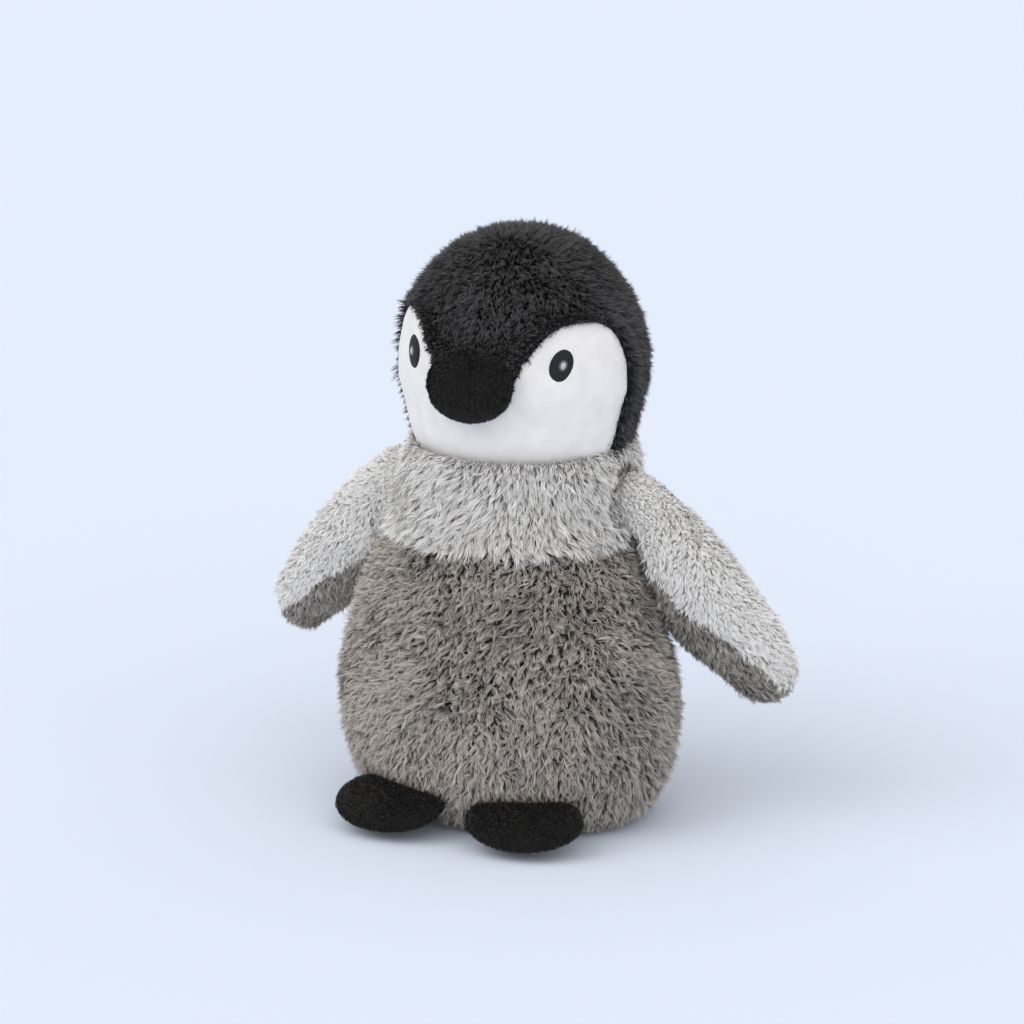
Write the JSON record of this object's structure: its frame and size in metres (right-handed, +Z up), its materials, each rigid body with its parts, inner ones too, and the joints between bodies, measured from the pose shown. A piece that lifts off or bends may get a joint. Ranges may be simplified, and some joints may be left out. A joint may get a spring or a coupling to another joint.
{
  "type": "plush penguin",
  "caption": "Seated plush penguin chick with a black hooded head, white face, grey body, two padded flippers, two flat feet and a grain bag inside.",
  "frame": {"origin": "centre of the flat base panel, on the floor", "axes": "+Z up, -Y forward, so the penguin faces -Y and its left side is at +X"},
  "size_m": [0.3245, 0.1778, 0.33],
  "materials": {
    "black_plush": "long soft pile",
    "white_plush": "short smooth pile",
    "light_grey_plush": "long soft pile",
    "dark_grey_plush": "long pile with pale tips",
    "black_velour": "short velour",
    "eye_thread": "satin stitch",
    "pale_thread": "satin stitch",
    "polyester_filling": "loose fibre",
    "cotton_lining": "plain weave",
    "grain_filling": "dry grain"
  },
  "bodies": {
    "torso": {"base_panel": "dark_grey_plush", "body_front": "dark_grey_plush", "body_back": "dark_grey_plush", "collar_front": "light_grey_plush", "collar_back": "light_grey_plush", "body_stuffing": "polyester_filling", "grain_bag_front": "cotton_lining", "grain_bag_back": "cotton_lining", "grain_filling": "grain_filling"},
    "neck": {"neck_stuffing": "polyester_filling"},
    "head": {"head_cap_left": "black_plush", "head_cap_right": "black_plush", "face_left": "white_plush", "face_right": "white_plush", "head_stuffing": "polyester_filling", "beak_upper": "black_velour", "beak_lower": "black_velour", "beak_stuffing": "polyester_filling", "eye_left": "eye_thread", "eye_right": "eye_thread", "eye_glint_left": "pale_thread", "eye_glint_right": "pale_thread"},
    "flipper_left": {"flipper_top_left": "light_grey_plush", "flipper_under_left": "dark_grey_plush", "flipper_stuffing_left": "polyester_filling"},
    "foot_left": {"foot_upper_left": "black_velour", "foot_sole_left": "black_velour", "foot_stuffing_left": "polyester_filling"},
    "flipper_right": {"flipper_top_right": "light_grey_plush", "flipper_under_right": "dark_grey_plush", "flipper_stuffing_right": "polyester_filling"},
    "foot_right": {"foot_upper_right": "black_velour", "foot_sole_right": "black_velour", "foot_stuffing_right": "polyester_filling"}
  },
  "joints": [
    {"name": "head_turn", "type": "hinge", "parent": "torso", "child": "neck", "pos_m": [0, 0.017, 0.232], "axis": [0, 0, 1], "range_deg": [-25, 25], "stiffness_Nm_per_rad": 0.8},
    {"name": "head_nod", "type": "hinge", "parent": "neck", "child": "head", "pos_m": [0, 0.017, 0.232], "axis": [1, 0, 0], "range_deg": [-8, 10], "stiffness_Nm_per_rad": 1.5},
    {"name": "flipper_raise_left", "type": "hinge", "parent": "torso", "child": "flipper_left", "pos_m": [0.071, 0.012, 0.18], "axis": [0.3173, -0.9483, 0], "range_deg": [0, 60], "stiffness_Nm_per_rad": 0.05},
    {"name": "flipper_raise_right", "type": "hinge", "parent": "torso", "child": "flipper_right", "pos_m": [-0.071, 0.012, 0.18], "axis": [0.3173, 0.9483, 0], "range_deg": [0, 60], "stiffness_Nm_per_rad": 0.05},
    {"name": "foot_tilt_left", "type": "hinge", "parent": "torso", "child": "foot_left", "pos_m": [0.0407, -0.052, 0.016], "axis": [-1, 0, 0], "range_deg": [-10, 10], "stiffness_Nm_per_rad": 0.2},
    {"name": "foot_tilt_right", "type": "hinge", "parent": "torso", "child": "foot_right", "pos_m": [-0.0407, -0.052, 0.016], "axis": [-1, 0, 0], "range_deg": [-10, 10], "stiffness_Nm_per_rad": 0.2}
  ]
}
